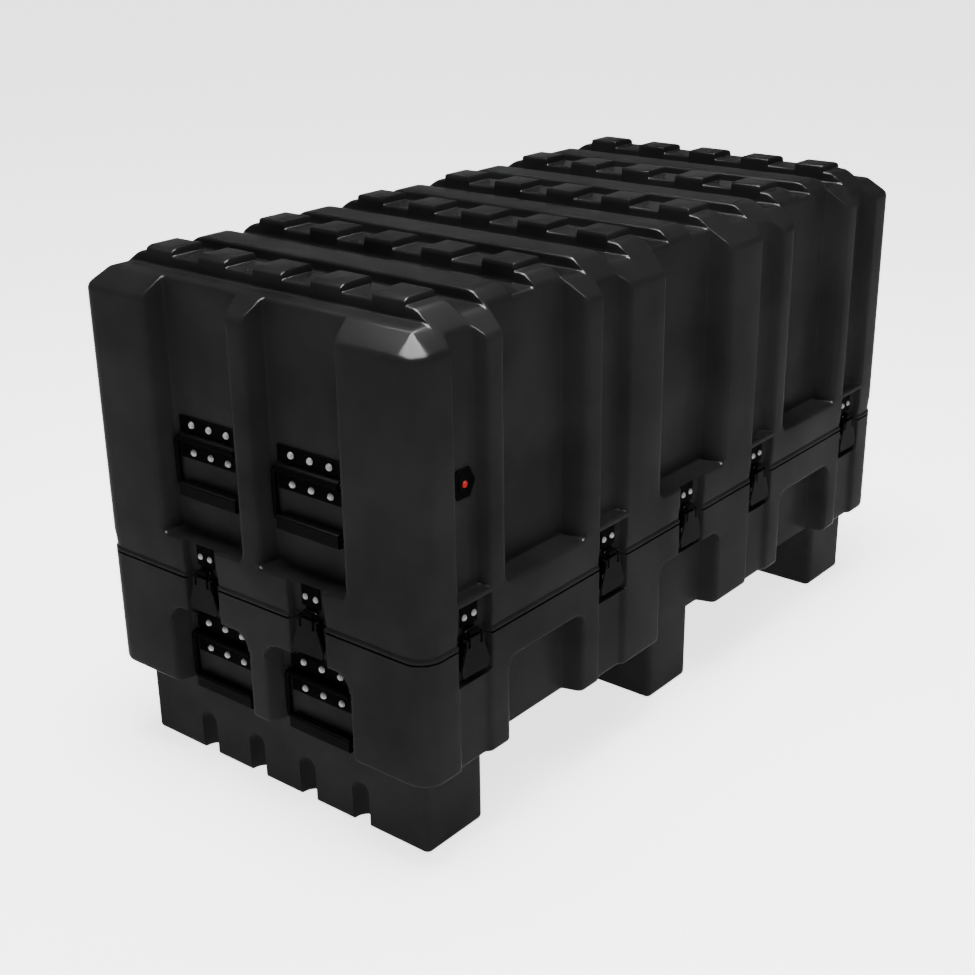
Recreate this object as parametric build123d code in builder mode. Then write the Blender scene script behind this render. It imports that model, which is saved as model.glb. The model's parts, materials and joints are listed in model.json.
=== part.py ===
from build123d import *
import math
import os

# Stackable battery transit case: a ribbed base on three runners, a ribbed lift-off lid held by
# fourteen draw latches, eight drop handles and a pressure relief valve.
# Millimetres. +X along the case, +Z up, origin on the floor under the middle of the case.

# ------------------------------------------------------------------ driving dimensions: shells
case_length = 1226.0
case_width = 616.0
wall = 7.0
corner_radius = 34.0
foot_height = 123.0
base_recess_top = 248.0
parting_height = 303.0
sill_height = 361.0
slope_foot_height = 696.0
slope_run = 58.0
slope_rise = 42.0
rib_height = 16.0
block_height = 10.0

# recesses in the walls: place of the middle, width at the mouth, width at the floor
narrow_recess_places = (207.0, 513.5)
narrow_recess_mouth = 66.0
narrow_recess_floor = 46.0
narrow_recess_depth = 19.0
outer_bay_place = 361.0
outer_bay_mouth = 175.0
middle_bay_mouth = 176.0
bay_wall_run = 12.0
end_wall_run = 8.0
lid_bay_depth = 38.0
end_bay_place = 95.5
end_bay_mouth = 160.0
end_bay_depth = 34.0
base_bay_depth = 34.0
base_narrow_depth = 8.0

# stacking ribs and blocks on the lid
block_rows = 6
block_columns = 5
block_row_pitch = 207.8
block_pitch = 104.5
block_width = 52.5
rib_width = 58.0

# runners under the base
runner_width = 116.0
middle_runner_width = 108.0
runner_inset = 34.0
tooth_gap_places = (-153.0, -51.0, 51.0, 153.0)
tooth_gap_width = 30.0
tooth_gap_height = 64.0
tooth_gap_depth = 26.0

# rim
gasket_width = 3.0
gasket_height = 3.0
gasket_inset = 2.0
rim_lip_thickness = 4.0
rim_lip_height = 10.0
rim_lip_root = 15.0
rim_clearance = 0.5

# ------------------------------------------------------------------ driving dimensions: latches
side_latch_places = (-513.5, -207.0, 0.0, 207.0, 513.5)
end_latch_places = (-102.5, 102.5)
latch_pocket_width = 66.0
latch_pocket_depth = 12.0
lid_pocket_clearance = 1.0
sheet = 2.0
pivot_height = 306.0
pivot_out = 6.5
pivot_pin_radius = 1.5
pivot_clearance = 0.05
pin_head_radius = 3.0
pin_head_height = 1.0
ear_radius = 4.5
lever_half_top = 17.0
lever_half_wide = 28.0
lever_half_tip = 25.0
lever_shoulder_drop = 8.0
lever_wide_drop = 38.0
lever_length = 48.0
lever_top_rise = 3.4
lever_sheet = 2.8
lever_back_gap = 2.0
flange_thickness = 2.5
side_gap = 0.3
loop_wire_radius = 1.75
loop_wire_clearance = 0.1
loop_half_width = 11.5
loop_crank = 7.0
loop_slot_drop = 1.0
loop_corner_radius = 2.4
catch_bar_gap = 0.45
catch_floor_gap = 0.15
catch_lip_gap = 3.1
catch_lip_rise = 1.6
keeper_half_width = 16.5
keeper_top = 356.0
keeper_plate_bottom = 324.0
keeper_tongue_half = 9.0
keeper_tongue_bottom = 314.0
seat_plate_bottom = 264.0
latch_rivet_height = 337.0
seat_rivet_height = 280.0
latch_rivet_spacing = 19.0
latch_rivet_head = 4.5
latch_rivet_dome = 3.0
latch_rivet_shank = 2.4

# ------------------------------------------------------------------ driving dimensions: handles
lid_handle_height = 500.0
base_handle_height = 201.0
bracket_width = 120.0
bracket_height = 60.0
bracket_sheet = 3.0
knuckle_radius = 7.0
knuckle_length = 110.0
bail_wire_radius = 4.0
bail_clearance = 0.1
bail_out = 6.0
bail_width = 132.0
bail_drop = 74.0
bail_corner_radius = 9.0
grip_length = 112.0
grip_height = 20.0
grip_thickness = 15.0
grip_wall_gap = 1.0
grip_edge_radius = 3.0
handle_rivet_pitch = 34.5
handle_rivet_rows = 40.0
handle_rivet_head = 5.0
handle_rivet_dome = 4.5
handle_rivet_shank = 2.4

# ------------------------------------------------------------------ driving dimensions: valve
valve_place = -513.5
valve_height = 515.0
valve_hex = 39.0
valve_flange = 3.5
valve_boss_radius = 11.0
valve_boss_height = 1.5
valve_stem_radius = 10.0
valve_stem_clearance = 0.2
valve_stem_length = 20.0
button_radius = 4.5
button_clearance = 0.1
button_proud = 1.5
button_stroke = 3.0
button_length = 15.0
button_well_spare = 1.0
valve_nut_hex = 30.0
valve_nut_height = 6.0

rivet_clearance = 0.1
over = 5.0

# ------------------------------------------------------------------ worked-out sizes
half_length = case_length / 2
half_width = case_width / 2
slope = slope_rise / slope_run
rib_top = slope_foot_height + slope_rise
deck_height = rib_top - rib_height
cone_height = slope_foot_height + (corner_radius - 0.5) * slope
lid_pocket_depth = latch_pocket_depth + lid_pocket_clearance
outer_bay_floor = outer_bay_mouth - 2 * bay_wall_run
middle_bay_floor = middle_bay_mouth - 2 * bay_wall_run
end_bay_floor = end_bay_mouth - 2 * end_wall_run
SIDES = (0, 180)
ENDS = (90, 270)
os.makedirs("parts", exist_ok=True)


def save(part, name):
    """Labels a finished piece and writes it as its own STEP file."""
    part.label = name
    export_step(part, f"parts/{name}.step")


# ------------------------------------------------------------------ plan outlines
def cut_recess(places, mouth, floor, depth, edge, angles):
    """Cuts tapered recesses into the outline from the edges that face the given directions."""
    for angle in angles:
        for place in places:
            with Locations(Location((0, 0, 0), (0, 0, angle))):
                Polygon(
                    (place - mouth / 2, -edge - over),
                    (place + mouth / 2, -edge - over),
                    (place + mouth / 2, -edge),
                    (place + floor / 2, -edge + depth),
                    (place - floor / 2, -edge + depth),
                    (place - mouth / 2, -edge),
                    align=None,
                    mode=Mode.SUBTRACT,
                )


def both_ways(places):
    """The places and their mirror images about the middle."""
    return tuple(-place for place in places) + tuple(places)


def latch_pockets(depth):
    """Cuts the fourteen latch pockets out of the outline."""
    mouth = latch_pocket_width
    cut_recess(side_latch_places, mouth, mouth, depth, half_width, SIDES)
    cut_recess(end_latch_places, mouth, mouth, depth, half_length, ENDS)


def flange_plan(pocket_depth):
    """Outline of the band on either side of the parting line: flush walls with latch pockets."""
    with BuildSketch() as plan:
        RectangleRounded(case_length, case_width, corner_radius)
        latch_pockets(pocket_depth)
    return plan.sketch


def ribbed_plan(narrow_depth, narrow_floor, bay_depth, end_depth):
    """Outline of the walls between the bands: columns and ribs with recesses between them."""
    with BuildSketch() as plan:
        RectangleRounded(case_length, case_width, corner_radius)
        cut_recess(
            both_ways(narrow_recess_places),
            narrow_recess_mouth, narrow_floor, narrow_depth, half_width, SIDES,
        )
        cut_recess(
            both_ways((outer_bay_place,)),
            outer_bay_mouth, outer_bay_floor, bay_depth, half_width, SIDES,
        )
        cut_recess((0,), middle_bay_mouth, middle_bay_floor, bay_depth, half_width, SIDES)
        cut_recess(
            both_ways((end_bay_place,)),
            end_bay_mouth, end_bay_floor, end_depth, half_length, ENDS,
        )
    return plan.sketch


def inner_plan(plan, inset):
    """The outline moved inwards all round."""
    with BuildSketch() as inner:
        add(plan)
        offset(amount=-inset, kind=Kind.INTERSECTION)
    return inner.sketch


def ring_plan(plan, near, far):
    """A closed band between two insets of the outline."""
    with BuildSketch() as ring:
        add(inner_plan(plan, near))
        add(inner_plan(plan, far), mode=Mode.SUBTRACT)
    return ring.sketch


def prism(plan, low, high):
    """The outline carried up from one height to another."""
    with BuildPart() as body:
        with BuildSketch(Plane.XY.offset(low)):
            add(plan)
        extrude(amount=high - low)
    return body.part


def hipped_block(inset, foot_height_, cone_top, flat_inset, top):
    """Everything under the sloped shoulders: walls, corner cones, and hips up to the flat top."""
    full = (case_length - 2 * inset, case_width - 2 * inset)
    point = (case_length - 2 * (corner_radius - 0.5), case_width - 2 * (corner_radius - 0.5))
    flat = (case_length - 2 * flat_inset, case_width - 2 * flat_inset)
    with BuildPart() as body:
        with BuildSketch(Plane.XY.offset(parting_height - over)):
            RectangleRounded(*full, corner_radius - inset)
        extrude(amount=foot_height_ - parting_height + over)
        with BuildSketch(Plane.XY.offset(foot_height_)):
            RectangleRounded(*full, corner_radius - inset)
        with BuildSketch(Plane.XY.offset(cone_top)):
            RectangleRounded(*point, 0.5)
        loft(ruled=True)
        with BuildSketch(Plane.XY.offset(cone_top)):
            RectangleRounded(*point, 0.5)
        with BuildSketch(Plane.XY.offset(top)):
            RectangleRounded(*flat, 0.5)
        loft(ruled=True)
    return body.part


# ------------------------------------------------------------------ placing hardware
def seat(angle, place, depth, height):
    """Location of a fitting on a wall: local +X along the wall, -Y outwards, +Z up."""
    edge = half_width if angle in SIDES else half_length
    return Location((0, 0, 0), (0, 0, angle)) * Location((place, -edge + depth, height))


def latch_spots():
    """Angle and place of each latch, side by side round the case."""
    spots = [(angle, place) for angle in SIDES for place in side_latch_places]
    return spots + [(angle, place) for angle in ENDS for place in end_latch_places]


def handle_spots():
    """Angle, place and pivot height of each handle: the lid's four, then the base's four."""
    heights = (lid_handle_height, base_handle_height)
    places = (-end_bay_place, end_bay_place)
    return [(angle, place, height) for height in heights for angle in ENDS for place in places]


def copies(part, locations):
    """One group of separate solids: the piece at every location."""
    return Compound(children=[part.moved(location) for location in locations])


def rivet(head_radius, dome, shank_radius, grip):
    """A domed rivet on the outward side of the local origin, its shank going inwards."""
    bulge = (head_radius**2 + dome**2) / (2 * dome)
    with BuildPart() as body:
        with BuildSketch(Plane.XZ) as head:
            with BuildLine():
                Line((0, 0), (head_radius, 0))
                RadiusArc((head_radius, 0), (0, dome), -bulge)
                Line((0, dome), (0, 0))
            make_face()
        revolve(axis=Axis.Z)
        with BuildSketch(Plane.XY):
            Circle(shank_radius)
        extrude(amount=-grip)
    return body.part.rotate(Axis.X, 90)


def rivet_holes(locations, shank_radius, grip):
    """Clearance holes for rivets, as one tool to cut with."""
    with BuildPart() as hole:
        with BuildSketch(Plane.XZ.offset(over)):
            Circle(shank_radius + rivet_clearance)
        extrude(amount=-(grip + over))
    return copies(hole.part, locations)


latch_rivet_offsets = (-latch_rivet_spacing / 2, latch_rivet_spacing / 2)
keeper_rivet_spots = [
    seat(angle, place + offset_, lid_pocket_depth - sheet, latch_rivet_height)
    for angle, place in latch_spots()
    for offset_ in latch_rivet_offsets
]
seat_rivet_spots = [
    seat(angle, place + offset_, latch_pocket_depth - sheet, seat_rivet_height)
    for angle, place in latch_spots()
    for offset_ in latch_rivet_offsets
]


def handle_rivet_spots(height):
    """Where the six rivets of each handle bracket at one level go."""
    columns = (-handle_rivet_pitch, 0, handle_rivet_pitch)
    rows = (-handle_rivet_rows / 2, handle_rivet_rows / 2)
    return [
        seat(angle, place + column, end_bay_depth - bracket_sheet, height + row)
        for angle, place, level in handle_spots()
        if level == height
        for column in columns
        for row in rows
    ]


# ------------------------------------------------------------------ lid shell
lid_flange = flange_plan(lid_pocket_depth)
lid_walls = ribbed_plan(narrow_recess_depth, narrow_recess_floor, lid_bay_depth, end_bay_depth)
outer_hips = hipped_block(0, slope_foot_height, cone_height, slope_run, rib_top)
slope_length = math.hypot(slope_run, slope_rise)
inner_shift = wall * slope_length / slope_rise
inner_foot = slope_foot_height + slope * (wall - inner_shift)
inner_cone = slope_foot_height + slope * (corner_radius - 0.5 - inner_shift)
inner_top = deck_height - wall
inner_flat = inner_shift + (inner_top - slope_foot_height) / slope
inner_hips = hipped_block(wall, inner_foot, inner_cone, inner_flat, inner_top)
with BuildPart() as upper_room:
    add(prism(inner_plan(lid_walls, wall), parting_height - over, inner_top))
    add(inner_hips, mode=Mode.INTERSECT)

rib_pitch = block_row_pitch / 2
rib_count = 2 * block_rows - 1
rib_places = [(k - (rib_count - 1) / 2) * rib_pitch for k in range(rib_count)]
rib_half_flat = half_width - slope_run

with BuildPart() as lid_shell:
    add(prism(lid_walls, sill_height, rib_top))
    add(prism(lid_flange, parting_height, sill_height))
    add(outer_hips, mode=Mode.INTERSECT)
    # grooves between the ribs, and the margins in front of the first and behind the last
    with BuildSketch(Plane.XY.offset(deck_height)):
        Rectangle(case_length + 2 * over, case_width + 2 * over)
        with Locations(*[(place, 0) for place in rib_places]):
            Rectangle(rib_width, case_width + 2 * over, mode=Mode.SUBTRACT)
    extrude(amount=rib_height + over, mode=Mode.SUBTRACT)
    # stacking blocks on every second rib
    with BuildSketch(Plane.XY.offset(rib_top)):
        with GridLocations(block_row_pitch, block_pitch, block_rows, block_columns):
            Rectangle(rib_width, block_width)
    extrude(amount=block_height)
    # inside: the room under the walls, the flange and the ribs
    add(upper_room.part, mode=Mode.SUBTRACT)
    add(
        prism(inner_plan(lid_flange, wall), parting_height - over, sill_height - wall),
        mode=Mode.SUBTRACT,
    )
    with BuildSketch(Plane.XY.offset(inner_top - 1)):
        with Locations(*[(place, 0) for place in rib_places]):
            Rectangle(rib_width - 2 * wall, 2 * (rib_half_flat - wall))
    extrude(amount=rib_height + 1, mode=Mode.SUBTRACT)
    # gasket groove in the rim
    with BuildSketch(Plane.XY.offset(parting_height)):
        add(ring_plan(lid_flange, gasket_inset, gasket_inset + gasket_width))
    extrude(amount=gasket_height, mode=Mode.SUBTRACT)
    add(rivet_holes(keeper_rivet_spots, latch_rivet_shank, wall + 2 * sheet), mode=Mode.SUBTRACT)
    add(
        rivet_holes(
            handle_rivet_spots(lid_handle_height), handle_rivet_shank, wall + 2 * bracket_sheet
        ),
        mode=Mode.SUBTRACT,
    )
    with BuildSketch(Plane.XZ.offset(half_width - narrow_recess_depth + over)):
        with Locations((valve_place, valve_height)):
            Circle(valve_stem_radius + valve_stem_clearance)
    extrude(amount=-(wall + 2 * over), mode=Mode.SUBTRACT)
save(lid_shell.part, "lid_shell")

with BuildPart() as lid_gasket:
    with BuildSketch(Plane.XY.offset(parting_height)):
        add(ring_plan(lid_flange, gasket_inset, gasket_inset + gasket_width))
    extrude(amount=gasket_height)
save(lid_gasket.part, "lid_gasket")

# ------------------------------------------------------------------ base shell
base_flange = flange_plan(latch_pocket_depth)
base_narrow_floor = narrow_recess_mouth - 2 * base_narrow_depth
base_walls = ribbed_plan(base_narrow_depth, base_narrow_floor, base_bay_depth, end_bay_depth)
runner_depth = case_width - 2 * runner_inset
runner_place = half_length - runner_inset - runner_width / 2
runners = ((-runner_place, runner_width), (0, middle_runner_width), (runner_place, runner_width))

with BuildPart() as base_shell:
    add(prism(base_walls, foot_height, base_recess_top))
    add(prism(base_flange, base_recess_top, parting_height))
    # inside: the room between the walls and the wider room behind the flange
    add(
        prism(inner_plan(base_walls, wall), foot_height + wall, parting_height + over),
        mode=Mode.SUBTRACT,
    )
    add(
        prism(inner_plan(base_flange, wall), base_recess_top + wall, parting_height + over),
        mode=Mode.SUBTRACT,
    )
    # lip inside the rim that centres the lid
    with BuildSketch(Plane.XY.offset(parting_height - rim_lip_root)):
        add(ring_plan(lid_flange, wall - lid_pocket_clearance, wall + rim_clearance + rim_lip_thickness))
    extrude(amount=rim_lip_root)
    with BuildSketch(Plane.XY.offset(parting_height)):
        add(ring_plan(lid_flange, wall + rim_clearance, wall + rim_clearance + rim_lip_thickness))
    extrude(amount=rim_lip_height)
    add(
        rivet_holes(seat_rivet_spots, latch_rivet_shank, wall + 2 * sheet),
        mode=Mode.SUBTRACT,
    )
    add(
        rivet_holes(
            handle_rivet_spots(base_handle_height), handle_rivet_shank, wall + 2 * bracket_sheet
        ),
        mode=Mode.SUBTRACT,
    )
save(base_shell.part, "base_shell")

# ------------------------------------------------------------------ runners, hollow and sealed
with BuildPart() as base_runners:
    with BuildSketch():
        for place, width in runners:
            with Locations((place, 0)):
                Rectangle(width, runner_depth)
    extrude(amount=foot_height)
    for place, width in runners:
        toothed = wall + tooth_gap_depth if place else wall
        side_sign = (place > 0) - (place < 0)
        with BuildSketch(Plane.XY.offset(wall)):
            with Locations((place - side_sign * (toothed - wall) / 2, 0)):
                Rectangle(width - wall - toothed, runner_depth - 2 * wall)
        extrude(amount=foot_height - 2 * wall, mode=Mode.SUBTRACT)
    # arched gaps between the teeth of the end runners
    for side_sign in (-1, 1):
        end_plane = Plane.YZ.offset(side_sign * (half_length - runner_inset))
        with BuildSketch(end_plane):
            with Locations(*[(place, tooth_gap_height / 2 - over) for place in tooth_gap_places]):
                Rectangle(tooth_gap_width, tooth_gap_height - tooth_gap_width / 2)
            with Locations(
                *[(place, tooth_gap_height - tooth_gap_width / 2) for place in tooth_gap_places]
            ):
                Circle(tooth_gap_width / 2)
        extrude(amount=-side_sign * tooth_gap_depth, mode=Mode.SUBTRACT)
save(base_runners.part, "base_runners")

# ------------------------------------------------------------------ latches
# Local frame of a latch: +X along the wall, -Y outwards, +Z up, Y 0 on the base's pocket floor.
pivot = (-pivot_out, pivot_height)
crank = (-pivot_out, pivot_height - loop_crank)
plate_back = -(pivot_out + lever_back_gap)
tongue_face = lid_pocket_clearance - sheet
catch_bar = (
    tongue_face - catch_bar_gap - loop_wire_radius,
    keeper_tongue_bottom + sheet + catch_floor_gap + loop_wire_radius,
)
catch_lip_back = catch_bar[0] - loop_wire_radius - catch_lip_gap

with BuildPart() as lever:
    with BuildSketch(Plane.XZ.offset(-plate_back)):
        top = pivot_height + lever_top_rise
        with BuildLine():
            Polyline(
                (-lever_half_top, top),
                (lever_half_top, top),
                (lever_half_top, pivot_height - lever_shoulder_drop),
                (lever_half_wide, pivot_height - lever_wide_drop),
                (lever_half_tip, pivot_height - lever_length),
                (-lever_half_tip, pivot_height - lever_length),
                (-lever_half_wide, pivot_height - lever_wide_drop),
                (-lever_half_top, pivot_height - lever_shoulder_drop),
                close=True,
            )
        make_face()
    extrude(amount=lever_sheet)
    # slots that the arms of the loop swing out through
    with BuildSketch(Plane.XZ.offset(-plate_back)):
        slot_low = crank[1] - loop_wire_radius - loop_slot_drop
        slot_near = loop_half_width - loop_wire_radius - side_gap
        slot_far = lever_half_top - flange_thickness
        with Locations(
            *[(s * (slot_near + slot_far) / 2, (slot_low + top + over) / 2) for s in (-1, 1)]
        ):
            Rectangle(slot_far - slot_near, top + over - slot_low)
    extrude(amount=lever_sheet, mode=Mode.SUBTRACT)
    for side_sign in (-1, 1):
        outer_face = side_sign * lever_half_top
        with BuildSketch(Plane.YZ.offset(outer_face)):
            Polygon(
                (plate_back - lever_sheet / 2, pivot_height + lever_back_gap),
                (-pivot_out + 3, pivot_height + 3),
                (-pivot_out + 3, pivot_height - loop_crank - 3),
                (plate_back - lever_sheet / 2, pivot_height - lever_length / 2),
                align=None,
            )
        extrude(amount=-side_sign * flange_thickness)
    with BuildSketch(Plane.YZ):
        with Locations(pivot):
            Circle(pivot_pin_radius + pivot_clearance)
        with Locations(crank):
            Circle(loop_wire_radius + loop_wire_clearance)
    extrude(amount=lever_half_top + over, both=True, mode=Mode.SUBTRACT)

loop_tilt = Plane(
    origin=(0, crank[0], crank[1]),
    x_dir=(1, 0, 0),
    z_dir=(0, -(catch_bar[1] - crank[1]), catch_bar[0] - crank[0]),
)
loop_height = math.dist(crank, catch_bar)
with BuildPart() as loop:
    with BuildLine(loop_tilt) as bow:
        FilletPolyline(
            (-loop_half_width, 0),
            (-loop_half_width, loop_height),
            (loop_half_width, loop_height),
            (loop_half_width, 0),
            radius=loop_corner_radius,
        )
    with BuildSketch(Plane(origin=bow.wire() @ 0, z_dir=bow.wire() % 0)):
        Circle(loop_wire_radius)
    sweep()
    with BuildSketch(Plane.YZ):
        with Locations(crank):
            Circle(loop_wire_radius)
    extrude(amount=lever_half_top, both=True)

ear_inner = lever_half_top + side_gap
ear_outer = ear_inner + sheet
with BuildPart() as seat_plate:
    with BuildSketch(Plane.XZ):
        seat_plate_top = pivot_height - ear_radius
        with Locations((0, (seat_plate_bottom + seat_plate_top) / 2)):
            Rectangle(2 * ear_outer, seat_plate_top - seat_plate_bottom)
    extrude(amount=sheet)
    for side_sign in (-1, 1):
        with BuildSketch(Plane.YZ.offset(side_sign * ear_inner)):
            with Locations((-pivot_out / 2, pivot_height)):
                Rectangle(pivot_out, 2 * ear_radius)
            with Locations(pivot):
                Circle(ear_radius)
            with Locations((-sheet / 2, pivot_height - ear_radius - 2)):
                Rectangle(sheet, 5)
        extrude(amount=side_sign * sheet)
    with BuildSketch(Plane.YZ):
        with Locations(pivot):
            Circle(pivot_pin_radius)
    extrude(amount=ear_outer + over, both=True, mode=Mode.SUBTRACT)
    with BuildSketch(Plane.XZ.offset(over)):
        with Locations(*[(place, seat_rivet_height) for place in latch_rivet_offsets]):
            Circle(latch_rivet_shank + rivet_clearance)
    extrude(amount=-2 * over, mode=Mode.SUBTRACT)

with BuildPart() as pivot_pins:
    for side_sign in (-1, 1):
        with BuildSketch(Plane.YZ.offset(side_sign * (lever_half_top - flange_thickness - 0.3))):
            with Locations(pivot):
                Circle(pivot_pin_radius)
        extrude(amount=side_sign * (ear_outer - lever_half_top + flange_thickness + 0.3))
        with BuildSketch(Plane.YZ.offset(side_sign * ear_outer)):
            with Locations(pivot):
                Circle(pin_head_radius)
        extrude(amount=side_sign * pin_head_height)

with BuildPart() as keeper:
    with BuildSketch(Plane.XZ.offset(-lid_pocket_clearance)):
        with Locations((0, (keeper_top + keeper_plate_bottom) / 2)):
            Rectangle(2 * keeper_half_width, keeper_top - keeper_plate_bottom)
        with Locations((0, (keeper_plate_bottom + keeper_tongue_bottom) / 2)):
            Rectangle(2 * keeper_tongue_half, keeper_plate_bottom - keeper_tongue_bottom)
    extrude(amount=sheet)
    with BuildSketch(Plane.YZ):
        Polygon(
            (tongue_face, keeper_tongue_bottom),
            (tongue_face, keeper_tongue_bottom + sheet),
            (catch_lip_back, keeper_tongue_bottom + sheet),
            (catch_lip_back, catch_bar[1] + catch_lip_rise),
            (catch_lip_back - sheet, catch_bar[1] + catch_lip_rise),
            (catch_lip_back - sheet, keeper_tongue_bottom),
            align=None,
        )
    extrude(amount=keeper_tongue_half, both=True)
    with BuildSketch(Plane.XZ.offset(over)):
        with Locations(*[(place, latch_rivet_height) for place in latch_rivet_offsets]):
            Circle(latch_rivet_shank + rivet_clearance)
    extrude(amount=-2 * over, mode=Mode.SUBTRACT)

latch_seats = [seat(angle, place, latch_pocket_depth, 0) for angle, place in latch_spots()]
for number, location in enumerate(latch_seats, 1):
    save(lever.part.moved(location), f"latch_lever_{number:02d}")
    save(loop.part.moved(location), f"latch_loop_{number:02d}")
save(copies(keeper.part, latch_seats), "latch_keepers")
save(copies(seat_plate.part, latch_seats), "latch_seat_plates")
save(copies(pivot_pins.part, latch_seats), "latch_pivot_pins")
latch_rivet = rivet(latch_rivet_head, latch_rivet_dome, latch_rivet_shank, wall + sheet)
save(copies(latch_rivet, keeper_rivet_spots), "keeper_rivets")
save(copies(latch_rivet, seat_rivet_spots), "seat_plate_rivets")

# ------------------------------------------------------------------ handles
# Local frame of a handle: +X along the wall, -Y outwards, Z 0 at the pivot, Y 0 on the bay floor.
with BuildPart() as bracket:
    with BuildSketch(Plane.XZ):
        Rectangle(bracket_width, bracket_height)
        relief = (bracket_width - knuckle_length) / 2
        with Locations(*[(s * (bracket_width - relief) / 2, 0) for s in (-1, 1)]):
            Rectangle(relief, 4 * bail_wire_radius, mode=Mode.SUBTRACT)
    extrude(amount=bracket_sheet)
    with BuildSketch(Plane.YZ):
        with Locations((-bail_out, 0)):
            Circle(knuckle_radius)
        with Locations((-bail_out / 2, 0)):
            Rectangle(bail_out, 2 * knuckle_radius)
        with Locations((knuckle_radius, 0)):
            Rectangle(2 * knuckle_radius, 4 * knuckle_radius, mode=Mode.SUBTRACT)
    extrude(amount=knuckle_length / 2, both=True)
    with BuildSketch(Plane.YZ):
        with Locations((-bail_out, 0)):
            Circle(bail_wire_radius + bail_clearance)
    extrude(amount=bracket_width, both=True, mode=Mode.SUBTRACT)
    with BuildSketch(Plane.XZ.offset(over)):
        with GridLocations(handle_rivet_pitch, handle_rivet_rows, 3, 2):
            Circle(handle_rivet_shank + rivet_clearance)
    extrude(amount=-2 * over, mode=Mode.SUBTRACT)

with BuildPart() as bail:
    with BuildLine(Plane.XZ.offset(bail_out)) as frame:
        FilletPolyline(
            (-bail_width / 2, 0),
            (bail_width / 2, 0),
            (bail_width / 2, -bail_drop),
            (-bail_width / 2, -bail_drop),
            radius=bail_corner_radius,
            close=True,
        )
    with BuildSketch(Plane(origin=frame.wire() @ 0, z_dir=frame.wire() % 0)):
        Circle(bail_wire_radius)
    sweep()

with BuildPart() as grip:
    with BuildSketch(Plane.YZ):
        with Locations((-grip_wall_gap - grip_thickness / 2, -bail_drop)):
            RectangleRounded(grip_thickness, grip_height, grip_edge_radius)
        with Locations((-bail_out, -bail_drop)):
            Circle(bail_wire_radius, mode=Mode.SUBTRACT)
    extrude(amount=grip_length / 2, both=True)

for number, (angle, place, height) in enumerate(handle_spots(), 1):
    location = seat(angle, place, end_bay_depth, height)
    save(bail.part.moved(location), f"handle_bail_{number}")
    save(grip.part.moved(location), f"handle_grip_{number}")
handle_rivet = rivet(
    handle_rivet_head, handle_rivet_dome, handle_rivet_shank, wall + bracket_sheet
)
for owner, level in (("lid", lid_handle_height), ("base", base_handle_height)):
    seats = [seat(a, p, end_bay_depth, h) for a, p, h in handle_spots() if h == level]
    save(copies(bracket.part, seats), f"{owner}_handle_brackets")
    save(copies(handle_rivet, handle_rivet_spots(level)), f"{owner}_handle_rivets")

# ------------------------------------------------------------------ pressure relief valve
valve_seat = seat(0, valve_place, narrow_recess_depth, valve_height)
button_out = valve_flange + valve_boss_height + button_proud
with BuildPart() as valve_body:
    with BuildSketch(Plane.XZ):
        RegularPolygon(valve_hex / 2, 6, major_radius=False)
    extrude(amount=valve_flange)
    with BuildSketch(Plane.XZ.offset(valve_flange)):
        Circle(valve_boss_radius)
    extrude(amount=valve_boss_height)
    with BuildSketch(Plane.XZ):
        Circle(valve_stem_radius)
    extrude(amount=-valve_stem_length)
    with BuildSketch(Plane.XZ.offset(button_out)):
        Circle(button_radius + button_clearance)
    extrude(amount=-(button_length + button_stroke + button_well_spare), mode=Mode.SUBTRACT)
save(valve_body.part.moved(valve_seat), "valve_body")

with BuildPart() as valve_button:
    with BuildSketch(Plane.XZ.offset(button_out)):
        Circle(button_radius)
    extrude(amount=-button_length)
    crown = valve_button.edges().filter_by(GeomType.CIRCLE).sort_by(Axis.Y)[0]
    fillet(crown, button_radius / 4)
save(valve_button.part.moved(valve_seat), "valve_button")

with BuildPart() as valve_nut:
    with BuildSketch(Plane.XZ.offset(-wall)):
        RegularPolygon(valve_nut_hex / 2, 6, major_radius=False)
        Circle(valve_stem_radius, mode=Mode.SUBTRACT)
    extrude(amount=-valve_nut_height)
save(valve_nut.part.moved(valve_seat), "valve_nut")
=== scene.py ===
import json
import math

import bmesh
import bpy
import numpy as np
from mathutils import Matrix, Vector


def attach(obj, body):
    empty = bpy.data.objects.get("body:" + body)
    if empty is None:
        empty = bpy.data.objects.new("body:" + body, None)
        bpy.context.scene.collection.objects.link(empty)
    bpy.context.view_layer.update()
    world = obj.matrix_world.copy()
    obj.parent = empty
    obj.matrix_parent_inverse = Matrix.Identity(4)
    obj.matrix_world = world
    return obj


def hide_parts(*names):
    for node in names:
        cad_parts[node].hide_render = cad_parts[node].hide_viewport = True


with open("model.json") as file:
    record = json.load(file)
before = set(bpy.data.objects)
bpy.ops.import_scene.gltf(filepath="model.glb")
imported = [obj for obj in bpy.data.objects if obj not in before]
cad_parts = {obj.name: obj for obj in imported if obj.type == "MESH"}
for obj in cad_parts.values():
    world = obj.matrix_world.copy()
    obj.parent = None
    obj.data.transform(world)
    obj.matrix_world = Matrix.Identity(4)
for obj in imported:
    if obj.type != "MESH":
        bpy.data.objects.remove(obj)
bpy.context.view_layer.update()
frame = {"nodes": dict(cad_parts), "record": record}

# Lengths below are millimetres; make_piece turns them into metres.

# ------------------------------------------------------------------ sizes of the case
# half the length and width, the plan's corner radius, and the levels from the floor up
HALF = (613.0, 308.0)
CORNER = 34.0
WALL = 7.0
FLOOR_LINE = 123.0
BASE_INSIDE = 130.0
BASE_LEDGE = 246.0
PARTING = 303.0
RIM_LOW = PARTING - 5
LID_FOOT = PARTING + 4
LEDGE_UNDER = 354.0
SILL = 361.0
NARROW_SILL = 368.0
BAY_MIDDLE = 600.0
SHOULDER = 696.0
UNDER_DECK = 714.0
DECK = 722.0

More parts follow.
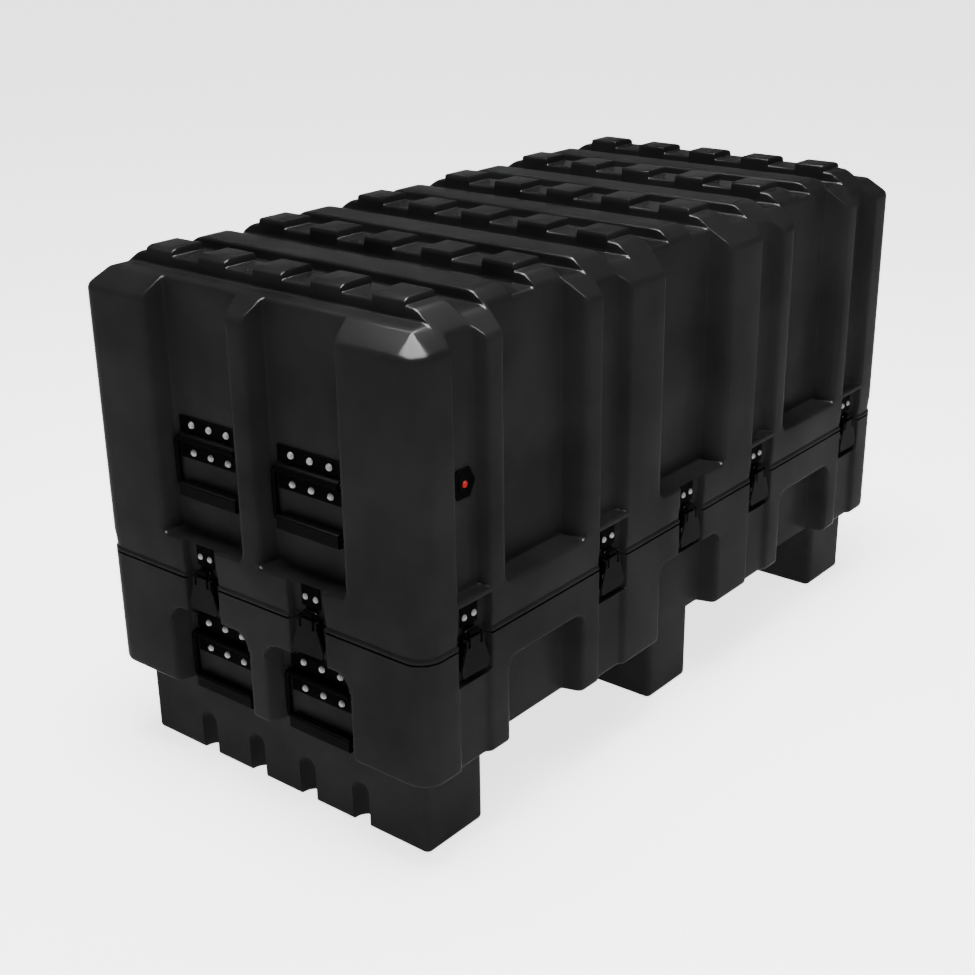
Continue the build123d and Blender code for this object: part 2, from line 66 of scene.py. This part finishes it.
# shoulder: its slope, the same slope's height inside at no inset, and how far its edge is rounded
SLOPE = 42.0 / 58.0
UNDER_SLOPE = 687.4
EDGE_DROP = 7.0
EDGE_IN = 6.0
CEILING_EDGE = 66.0
CEILING_TURN = 37.0

# deck: where it starts, its ribs along the length and the blocks on every second rib
DECK_EDGE = 60.0
RIB = 16.0
RIB_PITCH = 103.9
RIB_WIDTH = 58.0
BLOCK = 10.0
BLOCK_PITCH = 104.5
BLOCK_WIDTH = 52.5

# places of the recesses and latches along each side and end
BAY_PLACES = (-361.0, 0.0, 361.0)
NARROW_PLACES = (-513.5, -207.0, 207.0, 513.5)
END_PLACES = (-95.5, 95.5)
SIDE_LATCHES = (-513.5, -207.0, 0.0, 207.0, 513.5)
END_LATCHES = (-102.5, 102.5)

# depths of the recesses and latch pockets
LID_BAY = 38.0
LID_END_BAY = 34.0
LID_NARROW = 19.0
POCKET = 13.0
SEAT_POCKET = 12.0
BASE_NARROW = 8.0

# half the mouths of the bays, the radius of the turn at a ledge's ends, and how far it fades outside
LID_BAY_HALF = 87.5
BASE_BAY_HALF = 83.0
END_BAY_HALF = 80.0
LID_LEDGE_TURN = 9.0
BASE_SIDE_TURN = 16.0
BASE_END_TURN = 26.0
TURN_FADE = 24.0

# runners: inset from the sides, place and half width of each, rounded foot, and the flutes in the end faces
RUNNER_INSET = 34.0
RUNNERS = ((-521.0, 58.0), (0.0, 54.0), (521.0, 58.0))
FOOT_ROUND = 6.0
FLUTE_PLACES = (-153.0, -51.0, 51.0, 153.0)
FLUTE_RADIUS = 16.0
FLUTE_STRETCH = 1.3
FLUTE_CLEAR = 46.0
FLUTE_DOME = 19.0
UNDERSIDE_INSET = 41.0
UNDERSIDE_SPANS = ((-471.0, -46.0), (46.0, 471.0))


# ------------------------------------------------------------------ profiles
def bend(a, corner, b, count=5):
    """Quadratic curve from a to b pulled towards the corner: (1-w)^2 a + 2w(1-w) corner + w^2 b."""
    w = np.linspace(0, 1, count)[:, None]
    a, corner, b = (np.asarray(p, float) for p in (a, corner, b))
    return (1 - w) ** 2 * a + 2 * w * (1 - w) * corner + w**2 * b


def ramp(start, run, height, soft_low, soft_high, count=5):
    """A slanted wall from (start, 0) to (start + run, height), both corners bent over the soft lengths."""
    foot, head = np.array([start, 0.0]), np.array([start + run, height])
    along = (head - foot) / np.linalg.norm(head - foot)
    flat = np.array([1.0, 0.0])
    low = bend(foot - soft_low * flat, foot, foot + soft_low * along, count)
    high = bend(head - soft_high * along, head, head + soft_high * flat, count)
    return np.vstack([low, high])


def hollow(place, mouth, floor, depth, soft_lip, soft_floor, count=5):
    """A hollow about place: the ramp up on one side and its mirror image on the other."""
    half = ramp(-mouth / 2, (mouth - floor) / 2, depth, soft_lip, soft_floor, count)
    other = half[::-1] * (-1, 1)
    return np.vstack([half, other]) + (place, 0)


def ladder(*profiles):
    """Joins profiles in order of place into one function of place, flat between them."""
    points = np.vstack(profiles)
    return points[np.argsort(points[:, 0], kind="stable")]


def read(profile, at, grow=0.0):
    """Height of a profile at the given places; with grow, the highest within that distance."""
    if not grow:
        return np.interp(at, profile[:, 0], profile[:, 1], left=0, right=0)
    shifts = np.linspace(-grow, grow, 15)
    heights = [np.interp(at + k, profile[:, 0], profile[:, 1], left=0, right=0) for k in shifts]
    return np.max(heights, axis=0)


def rise(start, run, height, soft_low, soft_high):
    """Share of the full depth against height above the floor: 0 below the ledge, 1 above it."""
    profile = ramp(start, run, height, soft_low, soft_high)
    return profile * (1, 1 / height)


def share(profile, at, falling=False):
    """Reads a rise at the given heights, held at its end values outside it."""
    value = np.interp(at, profile[:, 0], profile[:, 1])
    return 1 - value if falling else value


# ------------------------------------------------------------------ meshes
def make_piece(name, points, faces, body, slot, sharp=35):
    """Mesh from points in millimetres: doubles merged, empty faces dropped, creases marked by angle."""
    mesh = bpy.data.meshes.new(name)
    mesh.from_pydata((np.asarray(points, float) * 0.001).tolist(), [], faces)
    work = bmesh.new()
    work.from_mesh(mesh)
    bmesh.ops.remove_doubles(work, verts=work.verts, dist=2e-6)
    bmesh.ops.dissolve_degenerate(work, edges=work.edges, dist=1e-7)
    work.to_mesh(mesh)
    work.free()
    mesh.polygons.foreach_set("use_smooth", np.ones(len(mesh.polygons), bool))
    mesh.set_sharp_from_angle(angle=math.radians(sharp))
    piece = bpy.data.objects.new(name, mesh)
    bpy.context.scene.collection.objects.link(piece)
    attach(piece, body)
    piece.data.materials.append(FINISHES[slot])
    return piece


def grid_faces(rows, columns, first=0, closed=False):
    """Quads of a grid stored row by row; closed joins the last column to the first."""
    count = columns if closed else columns - 1
    i, j = np.meshgrid(np.arange(rows - 1), np.arange(count), indexing="ij")
    k = (j + 1) % columns
    quads = np.stack([i * columns + j, i * columns + k, (i + 1) * columns + k, (i + 1) * columns + j], -1)
    return (quads.reshape(-1, 4) + first).tolist()


class Belt:
    """Columns round a rounded rectangle, anticlockwise from above: four sides and the corner after each."""

    def __init__(self, half, corner, side_places, end_places, steps=8):
        side, place, turn = [], [], []
        for k in range(4):
            reach = half[k % 2] - corner
            along = np.asarray(end_places if k % 2 else side_places, float)
            along = np.concatenate([[-reach], along[np.abs(along) < reach - 0.5], [reach]])
            arc = np.linspace(0, math.pi / 2, steps + 2)[1:-1]
            side += [k] * (len(along) + steps)
            place += list(along) + [reach] * steps
            turn += [0.0] * len(along) + list(arc)
        self.half, self.corner = half, corner
        self.side, self.place, self.turn = np.array(side), np.array(place), np.array(turn)
        self.count = len(side)
        self.reach = np.where(self.side % 2, half[1], half[0])
        self.edge = np.where(self.side % 2, half[0], half[1])

    def on(self, sides):
        """True for the straight columns of the named sides."""
        return np.isin(self.side, sides) & (self.turn == 0)

    def depth(self, profile, sides, grow=0.0):
        """A profile read along the named sides, nought elsewhere."""
        return np.where(self.on(sides), read(profile, self.place, grow), 0.0)

    def plan(self, inset):
        """Plan position at each inset: straight in from a side, round a corner, mitred past its radius."""
        past = np.maximum(inset, self.corner)
        left = np.maximum(self.corner - inset, 0)
        limit = self.reach - past
        straight_x = np.clip(self.place, -limit, limit)
        bent = self.turn > 0
        x = np.where(bent, limit + left * np.sin(self.turn), straight_x)
        y = np.where(bent, -self.edge + past - left * np.cos(self.turn), -self.edge + inset)
        angle = self.side * math.pi / 2
        c, s = np.round(np.cos(angle)), np.round(np.sin(angle))
        return x * c - y * s, x * s + y * c

    def rows(self, pairs):
        """Points of the rows, each row a pair of its columns' insets and heights."""
        inset, height = (np.array(part) for part in zip(*pairs))
        x, y = self.plan(inset)
        return np.stack([x, y, height], -1).reshape(-1, 3)


def tidy_places(*profiles, spacing=60.0, closest=0.3):
    """Column places: every point of the profiles, none too close, gaps filled to the spacing."""
    places = np.unique(np.concatenate([p[:, 0] for p in profiles]))
    keep = [places[0]]
    for p in places[1:]:
        if p - keep[-1] >= closest:
            keep.append(p)
    filled = []
    for a, b in zip(keep[:-1], keep[1:]):
        filled += list(np.linspace(a, b, max(1, math.ceil((b - a) / spacing)), endpoint=False))
    return np.array(filled + [keep[-1]])


def softer(a, b, width):
    """The lower of a and b with the crossing rounded over the width."""
    h = np.clip(0.5 + 0.5 * (b - a) / width, 0, 1)
    return b + (a - b) * h - width * h * (1 - h)


def turn_in(belt, sides, places, half, radius):
    """Rise of a ledge near a recess's side walls: a quarter circle's sagitta, faded out beyond them."""
    near = np.min([np.abs(belt.place - p) for p in places], axis=0)
    inside = np.clip(radius - (half - near), 0, radius)
    fade = np.clip(1 - (near - half) / TURN_FADE, 0, 1)
    sagitta = radius - np.sqrt(np.maximum(radius**2 - inside**2, 0))
    return np.where(belt.on(sides), fade * sagitta, 0.0)


def turn_places(places, half, radius):
    """Column places that follow a recess's rounded corners."""
    steps = half - radius * (1 - np.sin(np.linspace(0, math.pi / 2, 7)))
    return np.array([[p + side * s, 0] for p in places for side in (-1, 1) for s in steps])


# ------------------------------------------------------------------ finishes
CLOUD_SCALE = 9
ROUGH_DRIFT = 0.05
GRAIN_DEPTH = 0.0004


def moulded(name, colour, rough, grain, relief, specular=0.0025, drift=0.25):
    """Surface with a cloudy shade and roughness and a fine grain that lifts the normal."""
    material = bpy.data.materials.new(name)
    material.use_nodes = True
    tree = material.node_tree
    tree.nodes.clear()
    out = tree.nodes.new("ShaderNodeOutputMaterial")
    shader = tree.nodes.new("ShaderNodeBsdfPrincipled")
    place = tree.nodes.new("ShaderNodeTexCoord")
    tree.links.new(shader.outputs[0], out.inputs[0])
    shader.inputs["Specular IOR Level"].default_value = specular
    cloud = tree.nodes.new("ShaderNodeTexNoise")
    cloud.inputs["Scale"].default_value = CLOUD_SCALE
    cloud.inputs["Detail"].default_value = 5
    tree.links.new(place.outputs["Object"], cloud.inputs["Vector"])
    shade = tree.nodes.new("ShaderNodeValToRGB")
    low = [c * (1 - drift) for c in colour]
    high = [c * (1 + drift) for c in colour]
    shade.color_ramp.elements[0].position = 0.3
    shade.color_ramp.elements[1].position = 0.7
    shade.color_ramp.elements[0].color = (*low, 1)
    shade.color_ramp.elements[1].color = (*high, 1)
    tree.links.new(cloud.outputs["Fac"], shade.inputs["Fac"])
    tree.links.new(shade.outputs["Color"], shader.inputs["Base Color"])
    gloss = tree.nodes.new("ShaderNodeMapRange")
    gloss.inputs["To Min"].default_value = rough - ROUGH_DRIFT
    gloss.inputs["To Max"].default_value = rough + ROUGH_DRIFT
    tree.links.new(cloud.outputs["Fac"], gloss.inputs["Value"])
    tree.links.new(gloss.outputs["Result"], shader.inputs["Roughness"])
    fine = tree.nodes.new("ShaderNodeTexNoise")
    fine.inputs["Scale"].default_value = grain
    fine.inputs["Detail"].default_value = 3
    tree.links.new(place.outputs["Object"], fine.inputs["Vector"])
    lift = tree.nodes.new("ShaderNodeBump")
    lift.inputs["Strength"].default_value = relief
    lift.inputs["Distance"].default_value = GRAIN_DEPTH
    tree.links.new(fine.outputs["Fac"], lift.inputs["Height"])
    tree.links.new(lift.outputs["Normal"], shader.inputs["Normal"])
    return material


FINISHES = {
    "shell": moulded("moulded_shell", (0.0092, 0.0092, 0.0095), 0.24, 700, 0.12),
    "hardware": moulded("coated_hardware", (0.001, 0.001, 0.0011), 0.45, 900, 0.2, specular=0.0015),
    "lever": moulded("coated_lever", (0.0042, 0.0042, 0.0044), 0.45, 900, 0.3, specular=0.003),
    "wire": moulded("coated_wire", (0.001, 0.001, 0.0011), 0.34, 900, 0.15, specular=0.004),
    "grip": moulded("moulded_grip", (0.0016, 0.0016, 0.0017), 0.4, 600, 0.3, specular=0.003),
    "rivet": moulded("rivet_metal", (0.2, 0.2, 0.204), 0.35, 800, 0.1, specular=0.006, drift=0.08),
    "gasket": moulded("gasket_rubber", (0.008, 0.008, 0.008), 0.7, 500, 0.3),
    "fitting": moulded("valve_plastic", (0.001, 0.001, 0.0011), 0.45, 900, 0.2, specular=0.0015),
    "button": moulded("button_red", (0.22, 0.008, 0.007), 0.35, 500, 0.05, specular=0.008, drift=0.1),
}

# ------------------------------------------------------------------ lid
bays = ladder(*[hollow(p, 2 * LID_BAY_HALF, 151, LID_BAY, 9, 4) for p in BAY_PLACES])
narrows = ladder(*[hollow(p, 66, 46, LID_NARROW, 5, 4) for p in NARROW_PLACES])
end_bays = ladder(*[hollow(p, 2 * END_BAY_HALF, 144, LID_END_BAY, 9, 4) for p in END_PLACES])
side_pockets = ladder(*[hollow(p, 68, 64, POCKET, 2.5, 2.5, 4) for p in SIDE_LATCHES])
end_pockets = ladder(*[hollow(p, 68, 64, POCKET, 2.5, 2.5, 4) for p in END_LATCHES])
rib_places = [(k - 5) * RIB_PITCH for k in range(11)]
block_places = [k * BLOCK_PITCH for k in range(-2, 3)]
ribs = ladder(*[hollow(p, RIB_WIDTH, RIB_WIDTH - 3, RIB, 3.5, 4, 4) for p in rib_places])
block_ribs = ladder(*[hollow(p, RIB_WIDTH, RIB_WIDTH - 3, 1, 0.5, 0.5, 2) for p in rib_places[::2]])
blocks = ladder(
    *[hollow(p, BLOCK_WIDTH + 0.5, BLOCK_WIDTH - 1, BLOCK, 1.8, 1.8, 4) for p in block_places]
)

bay_rise = rise(SILL - 1, 3, LID_BAY, 6, 5)
narrow_rise = rise(NARROW_SILL, 3, LID_NARROW, 3, 6)
pocket_rise = rise(SILL - 2.5, 1.5, POCKET, 2, 2)
lid_side_turns = turn_places(BAY_PLACES, LID_BAY_HALF, LID_LEDGE_TURN)
lid_end_turns = turn_places(END_PLACES, END_BAY_HALF, LID_LEDGE_TURN)
lid_belt = Belt(
    HALF,
    CORNER,
    tidy_places(bays, narrows, side_pockets, ribs, lid_side_turns),
    tidy_places(end_bays, end_pockets, lid_end_turns),
)


def meet(across, above, width):
    """Side walls and ledge met in a soft hollow: the shallower of the two, rounded, never below 0."""
    open_part = np.minimum(np.minimum(across, above) / 6, 1)
    return np.maximum(softer(across, above, width * open_part + 1e-6), 0)


def lid_depth(belt, height, grow=0.0):
    """Depth of the lid's outside at each height: the bays and recesses above their ledges, or the pockets."""
    bay = belt.depth(bays, (0, 2), grow) + belt.depth(end_bays, (1, 3), grow)
    narrow = belt.depth(narrows, (0, 2), grow)
    pocket = belt.depth(side_pockets, (0, 2), grow) + belt.depth(end_pockets, (1, 3), grow)
    upper = meet(bay, LID_BAY * share(bay_rise, height), 5)
    upper = upper + meet(narrow, LID_NARROW * share(narrow_rise, height), 4)
    return np.maximum(upper, pocket * share(pocket_rise, height, falling=True))


def lid_top(x, y, inset):
    """Height of the lid's top: the shoulder slope cut off by the deck, whose ribs and blocks stand up."""
    standing = read(ribs, x) + read(block_ribs, x) * read(blocks, y)
    return softer(SHOULDER + SLOPE * inset, DECK + standing, 6.0)


def lid_inside(belt):
    """Rows from the ceiling down the inside wall to the rim, then up and down round the seal's groove."""
    one = np.ones(belt.count)
    low_inner = lid_depth(belt, LID_FOOT * one, WALL) + WALL
    inner = lid_depth(belt, BAY_MIDDLE * one, WALL) + WALL
    rows = [
        (CEILING_EDGE * one, UNDER_DECK * one),
        (np.maximum(inner, CEILING_TURN), UNDER_DECK * one),
        (inner, np.minimum(UNDER_DECK, UNDER_SLOPE + SLOPE * inner)),
        (inner, 500 * one),
        (inner, (LEDGE_UNDER + 1) * one),
        (low_inner, LEDGE_UNDER * one),
        (low_inner, PARTING * one),
    ]
    groove_top = PARTING + 3
    for grow, height in ((5, PARTING), (5, groove_top), (2, groove_top), (2, PARTING)):
        rows.append((lid_depth(belt, LID_FOOT * one, grow) + grow, height * one))
    return rows


def lid_outside(belt, edge):
    """Rows up the outside wall: rounded rim with its bead, ledges, then evenly to the shoulder's edge."""
    one = np.ones(belt.count)
    foot = lid_depth(belt, LID_FOOT * one)
    rim = bend((1.2, PARTING), (0, PARTING), (0, PARTING + 1.2), 4)[1:]
    bead = bend((0, PARTING + 1.8), (0, LID_FOOT), (2.4, PARTING + 7), 5)
    rows = [(foot + out, height * one) for out, height in np.vstack([rim, bead])]
    heights = [335, 350]
    heights += list(pocket_rise[:, 0]) + list(bay_rise[:, 0]) + list(narrow_rise[:, 0])
    heights = np.unique(np.round(heights, 2))
    lift = turn_in(belt, (0, 2), BAY_PLACES, LID_BAY_HALF, LID_LEDGE_TURN)
    lift = lift + turn_in(belt, (1, 3), END_PLACES, END_BAY_HALF, LID_LEDGE_TURN)
    for height in heights:
        rows.append((lid_depth(belt, height * one), height + lift * (SILL - 8 < height)))
    for part in (0.04, 0.2, 0.4, 0.6, 0.8, 0.95):
        height = heights[-1] + (edge - EDGE_DROP - heights[-1]) * part
        rows.append((lid_depth(belt, height), height))
    return rows


def lid_shoulder(belt, top_depth, edge):
    """Rows over the rounded edge, a quadratic curve, then up the shoulder slope to the deck's edge."""
    over_x, over_y = belt.plan(top_depth + EDGE_IN)
    over = lid_top(over_x, over_y, top_depth + EDGE_IN)
    rows = []
    for w in np.linspace(0, 1, 6):
        height = (1 - w) ** 2 * (edge - EDGE_DROP) + 2 * w * (1 - w) * edge + w**2 * over
        rows.append((top_depth + EDGE_IN * w**2, height))
    for inset in (10, 20, 29, 32, 34, 36, 38, 40, 43, 47, 51, 54, 56, 58, DECK_EDGE):
        reach = np.maximum(inset, top_depth + EDGE_IN)
        x, y = belt.plan(reach)
        rows.append((reach, lid_top(x, y, reach)))
    return rows


def lid_deck(belt):
    """Grid of the deck inside its edge, on the belt's places along and the blocks' places across."""
    long_end, side_end = HALF[0] - DECK_EDGE, HALF[1] - DECK_EDGE
    xs = np.unique(np.clip(belt.place[belt.on((0,))], -long_end, long_end))
    ys = tidy_places(blocks, spacing=80)
    ys = np.concatenate([[-side_end], ys[np.abs(ys) < side_end - 1], [side_end]])
    x, y = np.meshgrid(xs, ys)
    height = lid_top(x, y, np.minimum(HALF[0] - np.abs(x), HALF[1] - np.abs(y)))
    return np.stack([x, y, height], -1)


def build_lid():
    """The lid as one closed skin: ceiling, inside wall, rim with its groove, outside, shoulder and deck."""
    belt = lid_belt
    top_depth = lid_depth(belt, BAY_MIDDLE * np.ones(belt.count))
    top_x, top_y = belt.plan(top_depth)
    edge = lid_top(top_x, top_y, top_depth)
    rows = lid_inside(belt) + lid_outside(belt, edge) + lid_shoulder(belt, top_depth, edge)
    points = belt.rows(rows)
    faces = grid_faces(len(rows), belt.count, closed=True)
    faces.append(list(range(belt.count))[::-1])
    deck = lid_deck(belt)
    faces += grid_faces(*deck.shape[:2], first=len(points))
    cloud = np.vstack([points, deck.reshape(-1, 3)])
    piece = make_piece("lid_skin", cloud, faces, "lid", "shell")
    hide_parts("lid_shell")
    return piece


# ------------------------------------------------------------------ base
base_bays = ladder(*[hollow(p, 2 * BASE_BAY_HALF, 150, RUNNER_INSET, 6, 4) for p in BAY_PLACES])
base_narrows = ladder(*[hollow(p, 66, 52, BASE_NARROW, 4, 3) for p in NARROW_PLACES])
base_ends = ladder(*[hollow(p, 2 * END_BAY_HALF, 144, RUNNER_INSET, 6, 4) for p in END_PLACES])
base_bay_rise = rise(BASE_LEDGE, 3, RUNNER_INSET, 6, 5)
seat_rise = rise(BASE_LEDGE + 2, 1.5, SEAT_POCKET, 2, 2)
base_narrow_rise = rise(BASE_LEDGE, 2, BASE_NARROW, 3, 2)
base_side_turns = turn_places(BAY_PLACES, BASE_BAY_HALF, BASE_SIDE_TURN)
base_end_turns = turn_places(END_PLACES, END_BAY_HALF, BASE_END_TURN)
base_belt = Belt(
    HALF,
    CORNER,
    tidy_places(base_bays, base_narrows, side_pockets, base_side_turns),
    tidy_places(base_ends, end_pockets, base_end_turns),
)


def base_depth(belt, height, grow=0.0):
    """Depth of the base's outside: latch pockets above their ledge, and the recesses open at the bottom."""
    bay = belt.depth(base_bays, (0, 2), grow) + belt.depth(base_ends, (1, 3), grow)
    narrow = belt.depth(base_narrows, (0, 2), grow)
    pocket = belt.depth(side_pockets, (0, 2), grow) + belt.depth(end_pockets, (1, 3), grow)
    lower = meet(bay, RUNNER_INSET * share(base_bay_rise, height, falling=True), 5)
    slot = meet(narrow, BASE_NARROW * share(base_narrow_rise, height, falling=True), 4)
    seat = pocket * SEAT_POCKET / POCKET * share(seat_rise, height)
    return np.maximum(np.maximum(lower, slot), seat)


def runner(place, half, toothed):
    """One runner: straight walls, rounded edges, and half-round flutes with domed tops in a toothed face."""
    flute = np.sin(np.linspace(-math.pi / 2, math.pi / 2, 13)) * FLUTE_RADIUS
    across = np.concatenate([flute + p for p in FLUTE_PLACES] + [np.linspace(-240, 240, 9)])
    belt = Belt((half, HALF[1] - RUNNER_INSET), 9.0, np.linspace(-40, 40, 3), np.unique(across), 5)
    one = np.ones(belt.count)
    face = belt.on((1,) if toothed > 0 else (3,)) if toothed else np.zeros(belt.count, bool)

    def bite(height):
        """Depth of the flutes: an upright rod, and above its straight part a ball drawn out to the dome."""
        reach = np.min([np.abs(belt.place - p) for p in FLUTE_PLACES], axis=0)
        dome = np.maximum(height - FLUTE_CLEAR, 0) * FLUTE_RADIUS / FLUTE_DOME
        round_part = np.sqrt(np.maximum(FLUTE_RADIUS**2 - reach**2 - dome**2, 0))
        return np.where(face, FLUTE_STRETCH * round_part, 0)

    heights = [7, 20, 40, FLUTE_CLEAR, 50, 54, 57, 60, 62, 63.5, 65, 80, FLOOR_LINE]
    rows = [(bite(0) + FOOT_ROUND, 0 * one)]
    for w in np.linspace(0, 1, 5)[1:]:
        rows.append((bite(0) + FOOT_ROUND * (1 - w) ** 2, FOOT_ROUND * w**2 * one))
    rows += [(bite(h), h * one) for h in heights]
    points = belt.rows(rows)
    faces = grid_faces(len(rows), belt.count, closed=True)
    faces.append(list(range(belt.count))[::-1])
    return points + (place, 0, 0), faces


def base_outside(belt):
    """Rows from the underside round its edge, a quadratic curve, up the outside and into the rim's gap."""
    one = np.ones(belt.count)
    foot = base_depth(belt, (FLOOR_LINE + 4) * one)
    round_off = 8 * (1 - np.minimum(foot / RUNNER_INSET, 1)) + 0.01
    rows = [
        (np.maximum(UNDERSIDE_INSET, foot), FLOOR_LINE * one),
        (foot + round_off, FLOOR_LINE * one),
    ]
    for w in np.linspace(0, 1, 6)[1:]:
        rows.append((foot + round_off * (1 - w) ** 2, FLOOR_LINE + round_off * w**2))
    heights = [145, 180, 205]
    heights += list(base_bay_rise[:, 0]) + list(seat_rise[:, 0]) + list(base_narrow_rise[:, 0])
    heights = list(np.unique(np.round(heights, 2))) + [262, 285, RIM_LOW]
    drop = turn_in(belt, (0, 2), BAY_PLACES, BASE_BAY_HALF, BASE_SIDE_TURN)
    drop = drop + turn_in(belt, (1, 3), END_PLACES, END_BAY_HALF, BASE_END_TURN)
    for height in heights:
        near_ledge = BASE_LEDGE - 10 < height < BASE_LEDGE + 10
        rows.append((base_depth(belt, height * one), height - drop * near_ledge))
    rim = base_depth(belt, RIM_LOW * one)
    for out, height in ((0, PARTING - 3.2), (0.5, PARTING - 2.6), (4, PARTING - 2.4), (4, PARTING)):
        rows.append((rim + out, height * one))
    return rows


def base_inside(belt):
    """Rows over the rim's lip, down the inside wall and round its foot to the flat floor."""
    one = np.ones(belt.count)
    lip_out, lip_in = (lid_depth(belt, LID_FOOT * one, grow) + grow for grow in (WALL + 0.5, WALL + 4.5))
    upper = base_depth(belt, (PARTING - 10) * one, WALL) + WALL
    lower = base_depth(belt, 180 * one, WALL) + WALL
    return [
        (lip_out, PARTING * one),
        (lip_out, (PARTING + 9) * one),
        (lip_out + 1, (PARTING + 10) * one),
        (lip_in, (PARTING + 10) * one),
        (lip_in, (PARTING - 15) * one),
        (upper, (PARTING - 16) * one),
        (upper, (BASE_LEDGE + 10) * one),
        (lower, (BASE_LEDGE + 9) * one),
        (lower, (BASE_INSIDE + 8) * one),
        (lower + 2, (BASE_INSIDE + 2) * one),
        (lower + 8, BASE_INSIDE * one),
        (58 * one, BASE_INSIDE * one),
    ]


def build_base():
    """The base as one skin: underside, outside wall, rim and lip, inside wall, floor, runners."""
    belt = base_belt
    rows = base_outside(belt) + base_inside(belt)
    points = belt.rows(rows)
    faces = grid_faces(len(rows), belt.count, closed=True)
    clouds = [points]
    total = len(points)
    faces.append([total - belt.count + k for k in range(belt.count)])
    # underside between the runners
    side = HALF[1] - UNDERSIDE_INSET
    for low, high in UNDERSIDE_SPANS:
        corners = ((low, -side), (low, side), (high, side), (high, -side))
        clouds.append(np.array([(x, y, FLOOR_LINE) for x, y in corners]))
        faces.append([total, total + 1, total + 2, total + 3])
        total += 4
    for place, half in RUNNERS:
        cloud, quads = runner(place, half, (place > 0) - (place < 0))
        clouds.append(cloud)
        faces += [[v + total for v in f] for f in quads]
        total += len(cloud)
    piece = make_piece("base_skin", np.vstack(clouds), faces, "base", "shell")
    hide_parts("base_shell", "base_runners")
    return piece


build_lid()
build_base()

# ------------------------------------------------------------------ fittings carried over
slot_of = {s["node"]: s["material_slot"] for s in frame["record"]["subparts"]}
for node, shape in frame["nodes"].items():
    finish = FINISHES["lever" if "lever" in node else slot_of[node]]
    shape.data.materials.clear()
    shape.data.materials.append(finish)

# ------------------------------------------------------------------ studio
def panel_light(name, place, aim, size, power):
    """A soft square lamp turned towards its aim."""
    lamp = bpy.data.lights.new(name, "AREA")
    lamp.shape = "SQUARE"
    lamp.size = size
    lamp.energy = power
    body = bpy.data.objects.new(name, lamp)
    bpy.context.scene.collection.objects.link(body)
    body.location = place
    body.rotation_euler = (Vector(aim) - Vector(place)).to_track_quat("-Z", "Y").to_euler()
    return body


def bright_sheet():
    """Pale floor that gives off its own even light, so the case stands in white surroundings."""
    material = bpy.data.materials.new("studio_floor")
    material.use_nodes = True
    shader = material.node_tree.nodes["Principled BSDF"]
    shader.inputs["Base Color"].default_value = (0.8, 0.8, 0.8, 1)
    shader.inputs["Roughness"].default_value = 0.8
    shader.inputs["Specular IOR Level"].default_value = 0.1
    shader.inputs["Emission Color"].default_value = (1, 1, 1, 1)
    shader.inputs["Emission Strength"].default_value = 2.4
    return material


def build_floor():
    """A pale level sheet, half a millimetre under the runners."""
    across = np.linspace(-14, 14, 29)
    u, v = np.meshgrid(across, across)
    sheet = np.stack([u, v, np.full_like(u, -0.0005)], -1).reshape(-1, 3)
    mesh = bpy.data.meshes.new("studio_floor")
    mesh.from_pydata(sheet.tolist(), [], grid_faces(len(across), len(across)))
    mesh.materials.append(bright_sheet())
    floor = bpy.data.objects.new("studio_floor", mesh)
    bpy.context.scene.collection.objects.link(floor)


def build_world():
    """Even white surroundings at half strength."""
    world = bpy.data.worlds.new("studio")
    world.use_nodes = True
    background = world.node_tree.nodes["Background"]
    background.inputs["Color"].default_value = (1, 1, 1, 1)
    background.inputs["Strength"].default_value = 0.5
    bpy.context.scene.world = world


build_floor()
build_world()
# the overhead lamp lights the tops, and the gloss box shows only in the sheen
overhead = panel_light("overhead", (-0.4, -0.2, 4.0), (-0.2, 0, 0), 1.4, 260)
overhead.visible_glossy = False
gloss_box = panel_light("gloss_box", (-0.3, -0.4, 4.0), (-0.5, -0.3, 0.7), 3.5, 54000)
gloss_box.visible_diffuse = False

# ------------------------------------------------------------------ camera
CAMERA_TURNS = (39.3414, 21.9749, -0.7886)
CAMERA_PLACE = (-1.8608, -1.4346, 1.2225)
CAMERA_LENS = 57.2493


def build_camera():
    """Camera looking along its yaw and pitch, turned a little about its own line of sight."""
    yaw, pitch, roll = (math.radians(a) for a in CAMERA_TURNS)
    ahead = Vector((math.cos(yaw) * math.cos(pitch), math.sin(yaw) * math.cos(pitch), -math.sin(pitch)))
    right = Vector((math.sin(yaw), -math.cos(yaw), 0))
    up = right.cross(ahead)
    right, up = (
        right * math.cos(roll) + up * math.sin(roll),
        up * math.cos(roll) - right * math.sin(roll),
    )
    lens = bpy.data.cameras.new("camera")
    lens.lens = CAMERA_LENS
    lens.sensor_width = 36
    lens.clip_end = 100
    camera = bpy.data.objects.new("camera", lens)
    bpy.context.scene.collection.objects.link(camera)
    turn = Matrix((right, up, -ahead)).transposed().to_4x4()
    camera.matrix_world = Matrix.Translation(CAMERA_PLACE) @ turn
    bpy.context.scene.camera = camera


build_camera()

bpy.context.view_layer.update()
